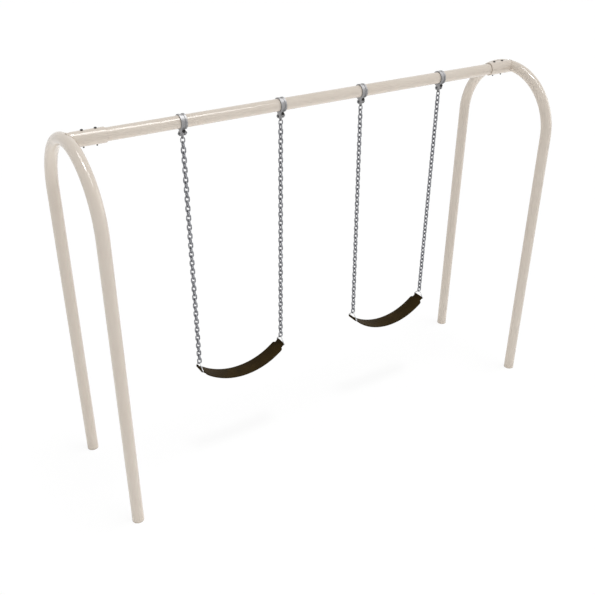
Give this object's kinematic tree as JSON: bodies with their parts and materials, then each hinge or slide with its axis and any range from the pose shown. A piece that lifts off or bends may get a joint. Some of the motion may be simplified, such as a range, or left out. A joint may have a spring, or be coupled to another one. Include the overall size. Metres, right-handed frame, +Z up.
{
  "type": "swing set",
  "caption": "Two-seat arch-post swing set: bent-tube arches, round top beam in welded sleeves, clamp hangers with pivoting pendulums, link chains, wire triangles and curved rubber belt seats.",
  "frame": {"origin": "on the ground, midway between the two arches and between the front and back legs", "axes": "+X along the top beam, +Y the way the swings travel, +Z up"},
  "size_m": [3.3822, 0.919, 2.4509],
  "materials": {
    "powder_coat": "gloss powder coat, sand beige",
    "black_bolts": "black oxide",
    "plated_bolts": "bright zinc plate",
    "galvanised_castings": "hot-dip galvanised malleable iron",
    "bronze": "oil-filled bronze",
    "zinc_chain": "zinc-plated welded chain",
    "bright_steel": "bright zinc-plated wire",
    "seat_rubber": "smooth moulded rubber, brown-black",
    "spring_steel": "plain spring steel, hidden"
  },
  "bodies": {
    "frame": {"arch_left": "powder_coat", "beam_sleeve_left": "powder_coat", "sleeve_weld_left": "powder_coat", "arch_right": "powder_coat", "beam_sleeve_right": "powder_coat", "sleeve_weld_right": "powder_coat", "top_beam": "powder_coat", "beam_bolts": "black_bolts", "clamp_bolts": "black_bolts", "clamp_nuts": "black_bolts", "pivot_bolts": "plated_bolts", "pivot_nuts": "plated_bolts", "clamp_front_1": "galvanised_castings", "clamp_back_1": "galvanised_castings", "clamp_front_2": "galvanised_castings", "clamp_back_2": "galvanised_castings", "clamp_front_3": "galvanised_castings", "clamp_back_3": "galvanised_castings", "clamp_front_4": "galvanised_castings", "clamp_back_4": "galvanised_castings"},
    "left_pendulums": {"pendulum_1": "galvanised_castings", "pendulum_2": "galvanised_castings", "pivot_bushes_1": "bronze"},
    "left_chain_outer": {"hanger_ring_1": "zinc_chain", "chain_1": "zinc_chain"},
    "left_chain_inner": {"hanger_ring_2": "zinc_chain", "chain_2": "zinc_chain"},
    "left_end_link_outer": {"end_link_1": "zinc_chain"},
    "left_end_link_inner": {"end_link_2": "zinc_chain"},
    "left_seat": {"seat_triangle_1": "bright_steel", "seat_triangle_2": "bright_steel", "seat_belt_1": "seat_rubber", "seat_insert_1": "spring_steel"},
    "right_pendulums": {"pendulum_3": "galvanised_castings", "pendulum_4": "galvanised_castings", "pivot_bushes_2": "bronze"},
    "right_chain_inner": {"hanger_ring_3": "zinc_chain", "chain_3": "zinc_chain"},
    "right_chain_outer": {"hanger_ring_4": "zinc_chain", "chain_4": "zinc_chain"},
    "right_end_link_inner": {"end_link_3": "zinc_chain"},
    "right_end_link_outer": {"end_link_4": "zinc_chain"},
    "right_seat": {"seat_triangle_3": "bright_steel", "seat_triangle_4": "bright_steel", "seat_belt_2": "seat_rubber", "seat_insert_2": "spring_steel"}
  },
  "joints": [
    {"name": "left_swing", "type": "hinge", "parent": "frame", "child": "left_pendulums", "pos_m": [-0.641, 0, 2.331], "axis": [1, 0, 0], "range_deg": [-60, 60]},
    {"name": "left_sway", "type": "hinge", "parent": "left_pendulums", "child": "left_chain_outer", "pos_m": [-0.975, 0, 2.2942], "axis": [0, 1, 0], "range_deg": [-8, 8]},
    {"name": "left_sway_far", "type": "hinge", "parent": "left_pendulums", "child": "left_chain_inner", "pos_m": [-0.307, 0, 2.2942], "axis": [0, 1, 0], "range_deg": [-8, 8]},
    {"name": "left_level", "type": "hinge", "parent": "left_chain_outer", "child": "left_end_link_outer", "pos_m": [-0.963, 0, 0.7515], "axis": [0, 1, 0], "range_deg": [-8.5, 8.5]},
    {"name": "left_level_far", "type": "hinge", "parent": "left_chain_inner", "child": "left_end_link_inner", "pos_m": [-0.319, 0, 0.7515], "axis": [0, 1, 0], "range_deg": [-8.5, 8.5]},
    {"name": "left_tilt", "type": "hinge", "parent": "left_end_link_outer", "child": "left_seat", "pos_m": [-0.641, 0, 0.7205], "axis": [1, 0, 0], "range_deg": [-20, 20]},
    {"name": "right_swing", "type": "hinge", "parent": "frame", "child": "right_pendulums", "pos_m": [0.641, 0, 2.331], "axis": [1, 0, 0], "range_deg": [-60, 60]},
    {"name": "right_sway", "type": "hinge", "parent": "right_pendulums", "child": "right_chain_inner", "pos_m": [0.307, 0, 2.2942], "axis": [0, 1, 0], "range_deg": [-8, 8]},
    {"name": "right_sway_far", "type": "hinge", "parent": "right_pendulums", "child": "right_chain_outer", "pos_m": [0.975, 0, 2.2942], "axis": [0, 1, 0], "range_deg": [-8, 8]},
    {"name": "right_level", "type": "hinge", "parent": "right_chain_inner", "child": "right_end_link_inner", "pos_m": [0.319, 0, 0.7515], "axis": [0, 1, 0], "range_deg": [-8.5, 8.5]},
    {"name": "right_level_far", "type": "hinge", "parent": "right_chain_outer", "child": "right_end_link_outer", "pos_m": [0.963, 0, 0.7515], "axis": [0, 1, 0], "range_deg": [-8.5, 8.5]},
    {"name": "right_tilt", "type": "hinge", "parent": "right_end_link_inner", "child": "right_seat", "pos_m": [0.641, 0, 0.7205], "axis": [1, 0, 0], "range_deg": [-20, 20]}
  ],
  "couplings": [
    {"joint": "left_sway_far", "follows": "left_sway", "ratio": 1},
    {"joint": "left_level", "follows": "left_sway", "ratio": -1.0371},
    {"joint": "left_level_far", "follows": "left_sway", "ratio": -1.0371},
    {"joint": "right_sway_far", "follows": "right_sway", "ratio": 1},
    {"joint": "right_level", "follows": "right_sway", "ratio": -1.0371},
    {"joint": "right_level_far", "follows": "right_sway", "ratio": -1.0371}
  ]
}
